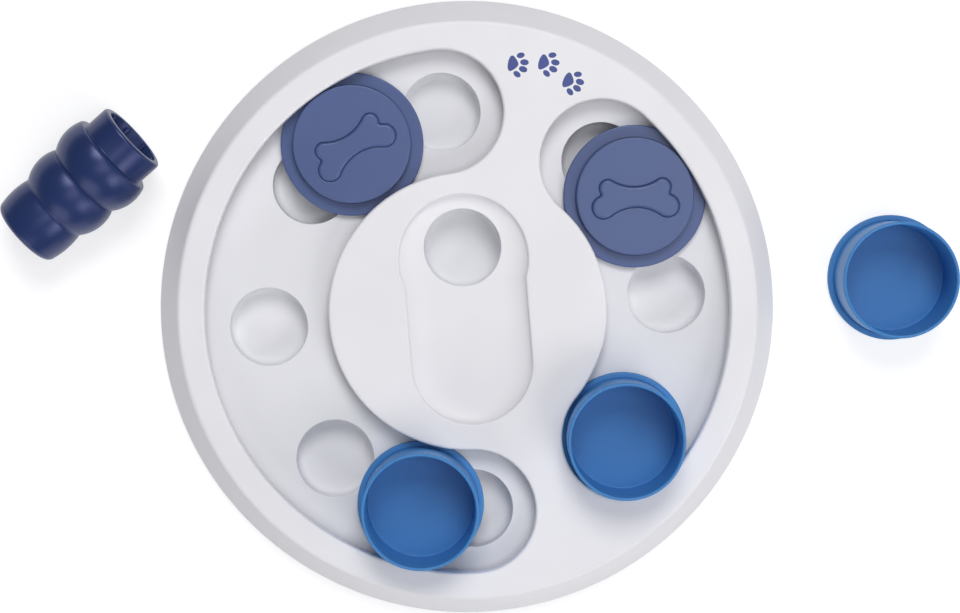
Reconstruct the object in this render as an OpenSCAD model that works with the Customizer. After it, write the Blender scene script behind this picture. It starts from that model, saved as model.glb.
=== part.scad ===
// Dog treat puzzle board: a round board of two shells with two curved channels, over eight
// treat wells and a keyhole trough. Two lidded sliders and two cups run in the channels.
// A third cup and a hollow roller stand beside the board.
// Millimetres, +Z up, origin on the table at the board's centre. +X points to the middle of
// the short channel, +Y to the round end of the trough that holds the centre well.

/* [Board] */
// Radius of the board at its foot
board_r = 150; // [125:1:190]
// Height of the board above the table
board_h = 28.3; // [23:0.1:36]
// How far the skirt leans in from foot to top
skirt_run = 11.1; // [6:0.1:14]
// Flat rim between the skirt and the channels
rim_w = 12.9; // [12:0.1:20]
// Thickness of the top cover
cover_wall = 2.4; // [1.8:0.1:3]
// Gap between the skirt's lower edge and the table
skirt_gap = 1.6; // [1:0.1:2.5]
// Rounding where the skirt meets the top
shoulder_r = 2; // [0.5:0.1:4]
// Rounding of the edges around the channels and the trough
lip_r = 1.2; // [0.4:0.1:1.6]

/* [Channels] */
// Width of a channel's opening
channel_w = 59.3; // [48:0.1:74]
// Depth of the channel floor below the top
floor_drop = 11.8; // [9.5:0.1:15]
// Narrowest width of the bridges between the two channels
bridge_w = 21; // [14:0.1:26]
// Wells under the long channel
long_wells = 5; // [4:1:5]
// Wells under the short channel
short_wells = 3; // [2:1:3]
// Thickness of the wall that turns down around a channel
lip_wall = 2.2; // [1.6:0.1:3]
// Clearance between this wall and the sliders' flanges
lip_gap = 0.6; // [0.4:0.1:1]
// Clearance between a slider and the channel floor
slide_gap = 0.3; // [0.2:0.05:0.5]

/* [Trough] */
// Half of the width of the trough's straight part
trough_r = 29; // [24:0.1:36]
// How much wider the round bowl is, on each side
bowl_bulge = 2; // [0.4:0.1:5]
// From the island's edge to the bowl
bowl_margin = 10.3; // [6:0.1:12]
// From the island's edge to the trough's far end
trough_margin = 12.5; // [6:0.1:16]
// Depth of the trough
trough_depth = 5; // [3.5:0.1:6]
// Rounding between the trough's wall and its floor
trough_fillet = 3.4; // [1:0.1:3.4]
// Radius of the hole over the centre well
centre_hole_r = 18.6; // [15:0.1:22]
// From the bowl's centre to the centre well
centre_hole_y = 5.3; // [0:0.1:6]

/* [Tray] */
// Thickness of the tray
tray_wall = 2.2; // [1.6:0.1:2.6]
// Radius of a treat well
well_r = 18.8; // [15:0.1:20]
// Rounding of a well's upper edge
well_lip_r = 0.5; // [0.3:0.1:1.2]
// Rounding at the bottom of a well
well_fillet = 3; // [1:0.1:4]
// Gap between the wells' undersides and the table
well_clear = 2.3; // [1.5:0.1:3]
// Clearance between the tray's edge and the skirt
tray_gap = 0.5; // [0.3:0.1:1]
// Thickness of the ribs and walls under the tray
rib_t = 1.8; // [1.2:0.1:2.4]
// Depth of the ribs under the tray
rib_h = 6; // [3:0.1:7]
// Radial webs that the rubber ring bears on
ring_webs = 32; // [16:1:48]

/* [Rubber ring] */
// Width of the rubber ring
ring_w = 5.6; // [4:0.1:7]
// How deep the ring sits in its groove
ring_seat = 3; // [2:0.1:4]
// Clearance between the ring and the groove's walls
ring_gap = 0.15; // [0.1:0.05:0.3]

/* [Screws] */
// Screws around the rim
rim_screws = 8; // [6:1:10]
// Turn of the island's four screws from the X axis
island_screw_spread = 12; // [8:1:40]
// Radius of a screw's shank over its thread
screw_r = 1.7; // [1.4:0.05:2]
// Bite of the thread into the boss
screw_bite = 0.2; // [0.1:0.05:0.3]
// Radius of a screw's head
screw_head_r = 2.9; // [2.5:0.1:3.4]
// Height of a screw's head
screw_head_h = 2; // [1.5:0.1:2.5]
// Wall of plastic around a screw
boss_wall = 2.2; // [1.6:0.1:2.6]

/* [Lidded sliders] */
// How far a slider's flange reaches under each lip
cap_capture = 4.65; // [3:0.05:5.6]
// Gap between a slider's disc and the lip
cap_side_gap = 1.45; // [1.3:0.05:3]
// Height of a slider
cap_h = 8.2; // [6.5:0.1:11]
// How far the sliders sit outside the middle of the track
cap_shift = 1.05; // [0:0.05:1.1]
// Thickness of the flanges of sliders and cups
flange_t = 3; // [2:0.1:3.4]
// Wall thickness of a slider
cap_wall = 2.2; // [1.6:0.1:3]
// Rounding of the disc's upper edge
cap_edge_r = 0.8; // [0.4:0.1:1.6]
// Height of the bone in relief
bone_h = 0.8; // [0.4:0.1:1.2]

/* [Cups] */
// How far a cup's flange reaches under each lip
cup_capture = 0.95; // [0.7:0.05:2]
// Gap between a cup's rim and the lip
cup_side_gap = 1.65; // [1.4:0.05:3]
// Height of a cup
cup_h = 33; // [24:0.1:42]
// Wall thickness of a cup
cup_wall = 1.6; // [1.2:0.1:2.2]
// Thickness of a cup's floor
cup_floor = 2.2; // [1.6:0.1:3]
// Draft of the cup's wall from rim to floor
cup_draft = 0.4; // [0.1:0.1:1]
// Bevel between the cup's wall and its floor
cup_fillet = 0.8; // [0.3:0.1:3]

/* [Roller] */
// Length of the roller
roller_len = 71.3; // [67:0.1:85]
// Radius of the closed barrel end at its belly
barrel_r = 18.9; // [18:0.1:20]
// Radius of the middle bulb
bulb1_r = 21.6; // [21:0.1:23]
// Radius of the bulb next to the mouth
bulb2_r = 23.1; // [23:0.1:27]
// Radius of the mouth's collar
collar_r = 18.4; // [17.5:0.1:20]
// Radius of the hollow inside
bore_r = 15; // [12:0.1:15]
// Thickness of the closed end
roller_end_t = 3.5; // [2:0.1:6]
// Number of ribs inside the hollow
roller_ribs = 8; // [4:1:10]
// Height of a rib inside the hollow
roller_rib_h = 1.4; // [0.8:0.1:2.4]

/* [Layout] */
// Long channel's slider, in wells from the channel's upper end
long_cap_at = 0.6242; // [0:0.01:0.9]
// Long channel's cup, in wells from the channel's lower end
long_cup_at = 0.3561; // [0:0.01:0.9]
// Short channel's slider, in wells from the channel's upper end
short_cap_at = 0.3177; // [0:0.01:0.32]
// Short channel's cup, in wells from the channel's lower end
short_cup_at = 0; // [0:0.01:0.01]
// Turn of the bone on the long channel's slider
long_bone_turn = 27.7; // [-180:0.1:180]
// Turn of the bone on the short channel's slider
short_bone_turn = -2.9; // [-180:0.1:180]
// Gap between the board and the loose cup
loose_cup_gap = 27.2; // [2:0.1:60]
// Direction of the loose cup from the board's centre
loose_cup_dir = -0.5; // [-30:0.1:30]
// Distance between the board's edge and the roller's middle
roller_gap = 46; // [45:0.1:90]
// Direction of the roller from the board's centre
roller_dir = 157.4; // [140:0.1:220]
// Turn of the roller's axis, towards its mouth
roller_turn = 36.5; // [-180:0.1:180]

/* [Hidden] */
island_screw_angles = [
    island_screw_spread, 180 - island_screw_spread, 180 + island_screw_spread, -island_screw_spread
];
island_screws = len(island_screw_angles);
$fn = 96;

// A little extra so that cuts pass cleanly through a face
over = 1;

// Circles of the board, from the foot inwards
half_w = channel_w / 2;
top_r = board_r - skirt_run;
track_r = top_r - rim_w - half_w;
island_r = track_r - half_w;

// Levels of the board
floor_z = board_h - floor_drop;
tray_z = floor_z - tray_wall;
cover_z = board_h - cover_wall;
slider_z = floor_z + slide_gap;
lip_z = slider_z + flange_t + lip_gap;
well_z = well_clear + tray_wall;

// Angles of the wells: both channels share the turn that the two bridges leave
bridge_angle = 2 * asin((channel_w + bridge_w) / 2 / track_r);
well_step = (360 - 2 * bridge_angle) / (long_wells + short_wells - 2);
long_half = (long_wells - 1) / 2 * well_step;
short_half = (short_wells - 1) / 2 * well_step;
well_angles = concat(
    [for (k = [0:long_wells - 1]) 180 - long_half + k * well_step],
    [for (k = [0:short_wells - 1]) -short_half + k * well_step]
);
rib_angles = concat(
    [for (k = [0:long_wells - 2]) 180 - long_half + (k + 0.5) * well_step],
    [for (k = [0:short_wells - 2]) -short_half + (k + 0.5) * well_step],
    [short_half + bridge_angle / 2, -short_half - bridge_angle / 2]
);

// Trough, along Y
bowl_r = trough_r + bowl_bulge;
bowl_y = island_r - bowl_margin - bowl_r;
trough_y = trough_margin + trough_r - island_r;
hole_y = bowl_y + centre_hole_y;

// The skirt's slope, and the tray that fits inside it
skirt_h = board_h - skirt_gap;
skirt_len = norm([skirt_run, skirt_h]);
skirt_wall = cover_wall * skirt_len / skirt_h;
tray_r = board_r - skirt_wall - (floor_z - skirt_gap) * skirt_run / skirt_h - tray_gap;
rim_wall_z = max(tray_z - rib_h, well_clear);

// Sliders and cups
cap_flange_r = half_w + cap_capture;
cap_disc_r = half_w - cap_side_gap;
cap_track_r = track_r + cap_shift;
cup_flange_r = half_w + cup_capture;
cup_rim_r = half_w - cup_side_gap;
long_cap_angle = 180 - long_half + long_cap_at * well_step;
long_cup_angle = 180 + long_half - long_cup_at * well_step;
short_cap_angle = short_half - short_cap_at * well_step;
short_cup_angle = -short_half + short_cup_at * well_step;

// Screws stand just clear of the flanges' path
flange_clear = 0.5;
boss_r = screw_r + boss_wall;
rim_screw_r = cap_track_r + cap_flange_r + flange_clear + boss_r;
island_screw_r = cap_track_r - cap_flange_r - flange_clear - boss_r;
boss_skin = 1.2;
boss_top = cover_z - boss_skin;
screw_tip_gap = 0.8;
screw_len = boss_top - screw_tip_gap - tray_z;
screw_hole_gap = 0.35;
head_pocket_gap = 0.6;

// Rubber ring and its groove, just outside the wells
groove_w = ring_w + 2 * ring_gap;
groove_in = track_r + well_r + tray_wall + rib_t + over;
groove_out = groove_in + groove_w;
web_t = 1.6;

// Round wall under the island, just outside the centre well
hub_r = hole_y + centre_hole_r + tray_wall + over + rib_t;

// Roller's bulbs and necks, measured along its axis from the closed end. It lies on both bulbs.
barrel_arc = 37.6;
barrel_at = 11.3;
neck1_at = 19.8;
bulb_arc = 19.1;
bulb1_at = 31.2;
neck2_at = 38.9;
bulb2_at = 50.6;
roller_tilt = atan((bulb2_r - bulb1_r) / (bulb2_at - bulb1_at));
roller_mid = roller_len / 2;
roller_z = (bulb1_r - bulb_arc) * cos(roller_tilt) + bulb_arc + (roller_mid - bulb1_at) * sin(roller_tilt);

// The second bulb turns over a tight shoulder into a step down to the collar
shoulder_turn = 20.6;
bulb_shoulder_r = 2;
shoulder_off = bulb_arc - bulb_shoulder_r;
shoulder_at = bulb2_at + shoulder_off * sin(shoulder_turn);
shoulder_out = bulb2_r - bulb_arc + shoulder_off * cos(shoulder_turn);

// Rounded closed end, collar and ribs
roller_edge = 3.6;
barrel_end_r = barrel_r - barrel_arc + sqrt(pow(barrel_arc, 2) - pow(barrel_at - roller_edge, 2));
collar_edge = 2;
roller_rib_t = 1.2;
rib_end_gap = 2.5;

// Bone in relief: two lobes at each end of a waisted bar
bone_top_lobe = [13.1, 4.3];
bone_top_lobe_r = 4;
bone_low_lobe = [15.4, -4.9];
bone_low_lobe_r = 5.4;
bone_top_waist = 4.5;
bone_top_arc = 22.3;
bone_low_waist = -5.2;
bone_low_arc = 19.6;

cover_color = "#e8e7ea";
tray_color = "#dfdfe4";
cup_color = "#4a86cf";
cap_color = "#56618f";
roller_color = "#2d3b69";
rubber_color = "#55585c";
steel_color = "#b9bbbe";

// Half profile of a disc with its upper edge rounded
module rounded_half(r, h, edge) {
    square([r - edge, h]);
    square([r, h - edge]);
    translate([r - edge, h - edge]) circle(edge);
}

// Half profile of a recess below y = 0: walls that flare at the lip, and a rounded floor
module recess_half(r, depth, fillet, lip = lip_r) {
    translate([0, -depth]) square([r - fillet, depth + over]);
    translate([0, fillet - depth]) square([r, depth - fillet + over]);
    if (fillet > 0) intersection() {
        translate([r - fillet, fillet - depth]) circle(fillet);
        translate([0, -depth]) square([r, depth]);
    }
    difference() {
        translate([r - over, -lip]) square([over + lip, lip + over]);
        translate([r + lip, -lip]) circle(lip);
    }
}

module recess_full(r, depth, fillet) {
    recess_half(r, depth, fillet);
    mirror([1, 0]) recess_half(r, depth, fillet);
}

// Sweeps a half profile along a channel's track: an arc with a half turn at each end
module along_track(half_angle, middle) {
    rotate(middle - half_angle) rotate_extrude(angle = 2 * half_angle) translate([track_r, 0]) {
        children();
        mirror([1, 0]) children();
    }
    rotate(middle - half_angle) translate([track_r, 0]) rotate(180) rotate_extrude(angle = 180) children();
    rotate(middle + half_angle) translate([track_r, 0]) rotate_extrude(angle = 180) children();
}

module both_tracks() {
    along_track(long_half, 180) children();
    along_track(short_half, 0) children();
}

module at_angle(r, angle) {
    translate([r * cos(angle), r * sin(angle), 0]) children();
}

module at_rim_screws() {
    for (k = [0:rim_screws - 1])
        at_angle(rim_screw_r, (k + 0.5) * 360 / rim_screws) children();
}

module at_island_screws() {
    for (a = island_screw_angles) at_angle(island_screw_r, a) children();
}

// Half silhouette of the cover: a cone's slope up to a rounded shoulder
module cover_half() {
    lean = atan(skirt_run / skirt_h);
    cut = shoulder_r * tan((90 - lean) / 2);
    corner = [top_r, board_h];
    polygon([
        [0, skirt_gap],
        [board_r, skirt_gap],
        corner + cut * [sin(lean), -cos(lean)],
        corner - [cut, 0],
        [0, board_h]
    ]);
    translate(corner - [cut, shoulder_r]) circle(shoulder_r);
}

// The same silhouette's hollow, one wall further in
module cover_hollow_half() {
    slope = skirt_run / skirt_h;
    polygon([
        [0, skirt_gap - over],
        [board_r - skirt_wall + over * slope, skirt_gap - over],
        [top_r - skirt_wall + cover_wall * slope, cover_z],
        [0, cover_z]
    ]);
}

// Keyhole trough, grown by a wall when it is the shell around the hollow
module dish(grow) {
    depth = trough_depth + grow;
    fillet = trough_fillet + grow / 2;
    translate([0, bowl_y, board_h]) rotate_extrude() recess_half(bowl_r + grow, depth, fillet);
    translate([0, trough_y, board_h]) rotate(180) rotate_extrude(angle = 180)
        recess_half(trough_r + grow, depth, fillet);
    translate([0, bowl_y, board_h]) rotate([90, 0, 0])
        linear_extrude(bowl_y - trough_y) recess_full(trough_r + grow, depth, fillet);
}

module cover_boss() {
    translate([0, 0, floor_z]) cylinder(r = boss_r, h = board_h - floor_z);
}

module cover_pilot() {
    translate([0, 0, floor_z - over]) cylinder(r = screw_r - screw_bite, h = boss_top - floor_z + over);
}

// The hollow keeps what hangs from the cover's underside
module top_cover() {
    color(cover_color) difference() {
        rotate_extrude() cover_half();
        difference() {
            rotate_extrude() cover_hollow_half();
            both_tracks() translate([0, lip_z]) square([half_w + lip_wall, board_h - lip_z]);
            dish(cover_wall);
            translate([0, hole_y, floor_z]) cylinder(r = centre_hole_r + cover_wall, h = board_h - floor_z);
            at_rim_screws() cover_boss();
            at_island_screws() cover_boss();
        }
        both_tracks() translate([0, board_h]) recess_half(half_w, floor_drop + over, 0);
        dish(0);
        translate([0, hole_y, 0]) cylinder(r = centre_hole_r, h = board_h);
        at_rim_screws() cover_pilot();
        at_island_screws() cover_pilot();
    }
}

module well_cut(r) {
    translate([0, 0, floor_z]) rotate_extrude() recess_half(r, floor_z - well_z, well_fillet, well_lip_r);
}

module screw_clearance() {
    translate([0, 0, tray_z - over]) cylinder(r = screw_r + screw_hole_gap, h = tray_wall + 2 * over);
    cylinder(r = screw_head_r + head_pocket_gap, h = tray_z);
}

module ring_wall(r_in, r_out, z0, z1) {
    translate([0, 0, z0]) difference() {
        cylinder(r = r_out, h = z1 - z0);
        translate([0, 0, -over]) cylinder(r = r_in, h = z1 - z0 + 2 * over);
    }
}

module ring_plan(r_in, r_out) {
    difference() {
        circle(r_out);
        circle(r_in);
    }
}

// Plan of the rim wall, the hub and the ribs between them and the ring's groove
module rib_plan() {
    ring_plan(tray_r - rib_t, tray_r);
    ring_plan(hub_r - rib_t, hub_r);
    for (a = rib_angles) rotate(a) translate([hub_r - over, -rib_t / 2])
        square([groove_in - rib_t - hub_r + 2 * over, rib_t]);
    for (k = [0:rim_screws - 1]) rotate(k * 360 / rim_screws) translate([groove_out + rib_t - over, -rib_t / 2])
        square([tray_r - groove_out - 2 * rib_t + 2 * over, rib_t]);
}

module base_tray() {
    color(tray_color) difference() {
        union() {
            translate([0, 0, tray_z]) cylinder(r = tray_r, h = tray_wall);
            translate([0, 0, rim_wall_z]) linear_extrude(floor_z - rim_wall_z) rib_plan();
            for (a = well_angles) at_angle(track_r, a)
                translate([0, 0, well_clear]) cylinder(r = well_r + tray_wall, h = floor_z - well_clear);
            translate([0, hole_y, well_clear]) cylinder(r = centre_hole_r + tray_wall, h = floor_z - well_clear);
            ring_wall(groove_in - rib_t, groove_in, well_clear, floor_z);
            ring_wall(groove_out, groove_out + rib_t, well_clear, floor_z);
            for (k = [0:ring_webs - 1]) rotate(k * 360 / ring_webs)
                translate([groove_in - over, -web_t / 2, well_clear + ring_seat])
                    cube([groove_w + 2 * over, web_t, floor_z - well_clear - ring_seat]);
        }
        for (a = well_angles) at_angle(track_r, a) well_cut(well_r);
        translate([0, hole_y, 0]) well_cut(centre_hole_r);
        at_rim_screws() screw_clearance();
        at_island_screws() screw_clearance();
    }
}

module anti_slip_ring() {
    color(rubber_color)
        ring_wall(groove_in + ring_gap, groove_in + ring_gap + ring_w, 0, well_clear + ring_seat);
}

// Self-tapping screw, pushed up from below, with a cross recess in its head
module screw() {
    recess_w = 0.9;
    recess_l = 3.4;
    recess_d = 1.2;
    head_edge = 0.9;
    tip_h = 1.6;
    tip_r = 0.6;
    color(steel_color) difference() {
        union() {
            translate([0, 0, tray_z]) mirror([0, 0, 1])
                rotate_extrude() rounded_half(screw_head_r, screw_head_h, head_edge);
            translate([0, 0, tray_z - over]) cylinder(r = screw_r, h = screw_len - tip_h + over);
            translate([0, 0, tray_z + screw_len - tip_h]) cylinder(r1 = screw_r, r2 = tip_r, h = tip_h);
        }
        for (turn = [0, 90]) rotate(turn)
            translate([-recess_l / 2, -recess_w / 2, tray_z - screw_head_h - over])
                cube([recess_l, recess_w, recess_d + over]);
    }
}

module rim_screw(k) {
    at_angle(rim_screw_r, (k - 0.5) * 360 / rim_screws) screw();
}

module island_screw(k) {
    at_angle(island_screw_r, island_screw_angles[k - 1]) screw();
}

module bone() {
    for (side = [-1, 1]) {
        translate([side * bone_top_lobe.x, bone_top_lobe.y]) circle(bone_top_lobe_r);
        translate([side * bone_low_lobe.x, bone_low_lobe.y]) circle(bone_low_lobe_r);
    }
    difference() {
        translate([-bone_top_lobe.x, bone_low_lobe.y - bone_low_lobe_r])
            square([2 * bone_top_lobe.x, bone_top_lobe.y - bone_low_lobe.y + bone_top_lobe_r + bone_low_lobe_r]);
        translate([0, bone_top_waist + bone_top_arc]) circle(bone_top_arc);
        translate([0, bone_low_waist - bone_low_arc]) circle(bone_low_arc);
    }
}

module slider_cap(angle, turn) {
    color(cap_color) at_angle(cap_track_r, angle) translate([0, 0, slider_z]) {
        difference() {
            rotate_extrude() {
                rounded_half(cap_flange_r, flange_t, cap_edge_r);
                rounded_half(cap_disc_r, cap_h, cap_edge_r);
            }
            translate([0, 0, -over]) cylinder(r = cap_disc_r - cap_wall, h = cap_h - cap_wall + over);
        }
        rotate(turn) translate([0, 0, cap_h - cap_wall / 2]) linear_extrude(cap_wall / 2 + bone_h) bone();
    }
}

module cup() {
    rim = cup_wall / 2;
    color(cup_color) rotate_extrude() difference() {
        union() {
            rounded_half(cup_flange_r, flange_t, cap_edge_r);
            polygon([[0, 0], [cup_rim_r - cup_draft, 0], [cup_rim_r, cup_h - rim], [0, cup_h - rim]]);
            translate([cup_rim_r - rim, cup_h - rim]) circle(rim);
        }
        polygon([
            [0, cup_floor],
            [cup_rim_r - cup_wall - cup_draft - cup_fillet, cup_floor],
            [cup_rim_r - cup_wall - cup_draft, cup_floor + cup_fillet],
            [cup_rim_r - cup_wall, cup_h - rim],
            [cup_rim_r - cup_wall, cup_h + over],
            [0, cup_h + over]
        ]);
    }
}

module track_cup(angle) {
    at_angle(track_r, angle) translate([0, 0, slider_z]) cup();
}

module loose_cup() {
    at_angle(board_r + loose_cup_gap + cup_flange_r, loose_cup_dir) cup();
}

// One belly of the roller's half profile: a bulging arc between two places on the axis
module belly(r, at, arc, from, to) {
    intersection() {
        translate([r - arc, at]) circle(arc);
        translate([0, from]) square([r + over, to - from]);
    }
}

module roller_half() {
    translate([barrel_end_r - roller_edge, roller_edge]) circle(roller_edge);
    square([barrel_end_r - roller_edge, roller_edge]);
    belly(barrel_r, barrel_at, barrel_arc, roller_edge, neck1_at);
    belly(bulb1_r, bulb1_at, bulb_arc, neck1_at, neck2_at);
    belly(bulb2_r, bulb2_at, bulb_arc, neck2_at, shoulder_at + bulb_shoulder_r * sin(shoulder_turn));
    translate([shoulder_out, shoulder_at]) circle(bulb_shoulder_r);
    translate([0, shoulder_at]) square([shoulder_out, bulb_shoulder_r]);
    translate([0, shoulder_at]) rounded_half(collar_r, roller_len - shoulder_at, collar_edge);
}

module treat_roller() {
    color(roller_color) at_angle(board_r + roller_gap, roller_dir) rotate(roller_turn)
        translate([0, 0, roller_z]) rotate([0, 90 - roller_tilt, 0]) translate([0, 0, -roller_mid]) {
            rotate_extrude() difference() {
                roller_half();
                translate([0, roller_end_t]) square([bore_r, roller_len]);
            }
            for (k = [0:roller_ribs - 1]) rotate((k + 0.5) * 360 / roller_ribs)
                translate([bore_r - roller_rib_h, -roller_rib_t / 2, roller_end_t - over])
                    cube([roller_rib_h + over, roller_rib_t, roller_len - roller_end_t + over - rib_end_gap]);
        }
}

base_tray();
top_cover();
anti_slip_ring();
slider_cap(long_cap_angle, long_bone_turn);  // long_track_slider
slider_cap(short_cap_angle, short_bone_turn);  // short_track_slider
track_cup(long_cup_angle);  // long_track_cup
track_cup(short_cup_angle);  // short_track_cup
loose_cup();
treat_roller();
for (k = [1:rim_screws]) rim_screw(k);
for (k = [1:island_screws]) island_screw(k);
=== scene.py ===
from math import asin, atan, atan2, cos, degrees, hypot, pi, radians, sin, sqrt, tan

import bmesh
import bpy
import numpy as np
from bpy.props import FloatProperty, FloatVectorProperty, IntProperty, PointerProperty
from mathutils import Matrix, Vector
from mathutils.geometry import delaunay_2d_cdt


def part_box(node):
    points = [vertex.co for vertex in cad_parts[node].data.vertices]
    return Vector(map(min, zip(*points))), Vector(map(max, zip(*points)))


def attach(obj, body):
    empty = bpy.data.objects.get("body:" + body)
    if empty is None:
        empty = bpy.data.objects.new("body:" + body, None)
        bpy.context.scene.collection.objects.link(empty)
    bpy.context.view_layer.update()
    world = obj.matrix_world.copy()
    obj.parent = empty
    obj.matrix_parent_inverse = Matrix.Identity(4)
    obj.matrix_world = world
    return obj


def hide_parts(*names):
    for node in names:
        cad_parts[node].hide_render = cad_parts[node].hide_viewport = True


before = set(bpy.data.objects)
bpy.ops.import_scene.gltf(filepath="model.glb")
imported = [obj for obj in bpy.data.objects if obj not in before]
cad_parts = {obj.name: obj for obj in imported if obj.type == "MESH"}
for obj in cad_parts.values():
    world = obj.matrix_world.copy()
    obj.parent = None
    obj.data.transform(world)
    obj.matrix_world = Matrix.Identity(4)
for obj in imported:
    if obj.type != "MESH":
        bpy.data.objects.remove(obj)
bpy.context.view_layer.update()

bl_info = {
    "name": "Treat puzzle board",
    "version": (1, 0, 0),
    "blender": (4, 5, 0),
    "location": "3D View > Sidebar > Treat board",
    "description": "Builds the looks of a dog treat puzzle board around its packed frame",
    "category": "Object",
}

MM = 0.001
# A narrow flat band beside each rounding keeps the flat face's shading flat
FLAT_BAND = 0.4 * MM
# Facets of a full circle, by how large it is
WIDE_CIRCLE = 288
PIECE_CIRCLE = 160
CUP_CIRCLE = 144
SMALL_CIRCLE = 128
SCREW_CIRCLE = 40
POST_CIRCLE = 32
# Edges sharper than this stay crisp
CRISP = radians(34)
# Points closer than this are one point
WELD = 1e-6
# Index of refraction of the plastics, the rubber and the ink
PLASTIC_IOR = 1.49
# Width of the slow drift of tone and gloss across a moulding
DRIFT = 38 * MM
# Top of the posts near the rim, where the leaning skirt leaves less room
RIM_POST_TOP = 24.4 * MM
# Half of the floor's side, in metres
FLOOR_HALF = 3.0
# Colours of the stage: the floor's paper, and the pale air that lights the object
PAPER = "#cdcdcf"
AIR = "#f4f5fa"


def linear(code):
    """An sRGB hex colour as linear red, green and blue."""
    parts = [int(code[k:k + 2], 16) / 255 for k in (1, 3, 5)]
    return tuple(p / 12.92 if p <= 0.04045 else ((p + 0.055) / 1.055) ** 2.4 for p in parts)


def length(name, description, millimetres):
    return FloatProperty(name=name, description=description, default=millimetres * MM,
                         precision=5, subtype="DISTANCE", unit="LENGTH")


def turn(name, description, angle):
    return FloatProperty(name=name, description=description, default=radians(angle),
                         precision=4, subtype="ANGLE", unit="ROTATION")


def colour(name, description, code):
    return FloatVectorProperty(name=name, description=description, default=linear(code),
                               min=0, max=1, size=3, subtype="COLOR")


# ---------------------------------------------------------------- sizes

class BoardSizes(bpy.types.PropertyGroup):
    radius: length("Foot radius", "Radius of the board at its foot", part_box("top_cover")[1].x / MM)
    height: length("Height", "Height of the board over the table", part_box("top_cover")[1].z / MM)
    skirt_run: length("Skirt lean", "How far the skirt leans in from foot to top", 11.1)
    skirt_gap: length("Skirt gap", "Gap between the skirt's foot and the table", 1.6)
    rim: length("Rim", "Flat rim between the skirt and the channels", 12.9)
    wall: length("Wall", "Thickness of the cover", 2.4)
    shoulder: length("Shoulder", "Rounding where the skirt meets the top", 2.4)
    lip: length("Lip rounding", "Rounding of the edges around the channels", 1.3)
    lip_wall: length("Lip wall", "Thickness of the wall that turns down around a channel", 2.2)
    lip_height: length("Lip height", "Height of that wall's lower edge over the table", 20.4)
    channel: length("Channel width", "Width of a channel's opening", 59.3)
    bridge: length("Bridge", "Narrowest width of the bridges between the channels", 21)
    long_wells: IntProperty(name="Long wells", description="Wells under the long channel", default=5)
    short_wells: IntProperty(name="Short wells", description="Wells under the short channel", default=3)


class TroughSizes(bpy.types.PropertyGroup):
    half_width: length("Half width", "Half of the width of the trough's straight part", 29)
    bowl: length("Bowl radius", "Radius of the round end around the centre well", 31)
    bowl_margin: length("Bowl margin", "From the island's edge to the bowl", 10.3)
    end_margin: length("End margin", "From the island's edge to the trough's far end", 12.5)
    waist: length("Waist rounding", "Rounding where the bowl meets the straight part", 6)
    depth: length("Depth", "Depth of the trough below the top", 5)
    lip: length("Lip rounding", "Rounding of the trough's upper edge", 0.9)
    sweep: length("Sweep", "Width of the soft rounding from the wall to the floor", 11.5)
    hole_border: length("Hole border", "Flat floor left between that rounding and the hole", 1.2)
    hole: length("Hole radius", "Radius of the hole over the centre well", 18.6)
    hole_shift: length("Hole shift", "From the bowl's centre to the hole's", 5.3)


class SliderSizes(bpy.types.PropertyGroup):
    flange: length("Flange radius", "Radius of the flange that runs under the lips", 34.3)
    flange_height: length("Flange thickness", "Thickness of the flange", 3)
    disc: length("Disc radius", "Radius of the raised disc", 28.2)
    height: length("Height", "Height from the flange's foot to the disc's top", 8.2)
    edge: length("Edge rounding", "Rounding of the flange's and the disc's edges", 0.55)
    wall: length("Wall", "Thickness of the disc", 2.2)
    groove: length("Groove", "Depth of the soft groove around the bone", 0.45)
    groove_width: length("Groove width", "Width of that groove", 0.8)
    bone: length("Bone height", "How far the bone stands above the disc", 1.3)
    long_turn: turn("Long channel's bone", "Turn of the bone on the long channel's slider", 27.7)
    short_turn: turn("Short channel's bone", "Turn of the bone on the short channel's slider", -2.9)


class CupSizes(bpy.types.PropertyGroup):
    flange: length("Flange radius", "Radius of the flange around the foot", 30.6)
    flange_height: length("Flange thickness", "Thickness of the flange", 3)
    rim: length("Rim radius", "Outer radius of the rim", 28)
    height: length("Height", "Height of the cup", 33)
    wall: length("Wall", "Thickness of the wall", 1.6)
    floor: length("Floor", "Thickness of the floor", 2.2)
    draft: length("Draft", "How much narrower the wall is at the floor", 0.4)
    corner: length("Corner", "Rounding between the wall and the floor, inside", 0.7)


class RollerSizes(bpy.types.PropertyGroup):
    length: length("Length", "Length of the roller", 71.3)
    barrel: length("Barrel radius", "Radius of the closed end at its belly", 18.9)
    bulb: length("Bulb radius", "Radius of the middle bulb", 21.6)
    wide_bulb: length("Wide bulb radius", "Radius of the bulb beside the mouth", 23.1)
    collar: length("Collar radius", "Radius of the mouth's collar", 18.4)
    bore: length("Bore radius", "Radius of the hollow", 15)
    end: length("End wall", "Thickness of the closed end", 3.5)
    ribs: IntProperty(name="Ribs", description="Ribs inside the hollow", default=8)
    rib_height: length("Rib height", "Height of a rib", 1.4)
    rib_width: length("Rib width", "Width of a rib", 1.4)
    distance: length("Distance", "From the board's centre to the roller's middle", 196)
    direction: turn("Direction", "Direction of the roller from the board's centre", 157.4)
    heading: turn("Heading", "Turn of the roller's axis, towards its mouth", 36.5)


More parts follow.
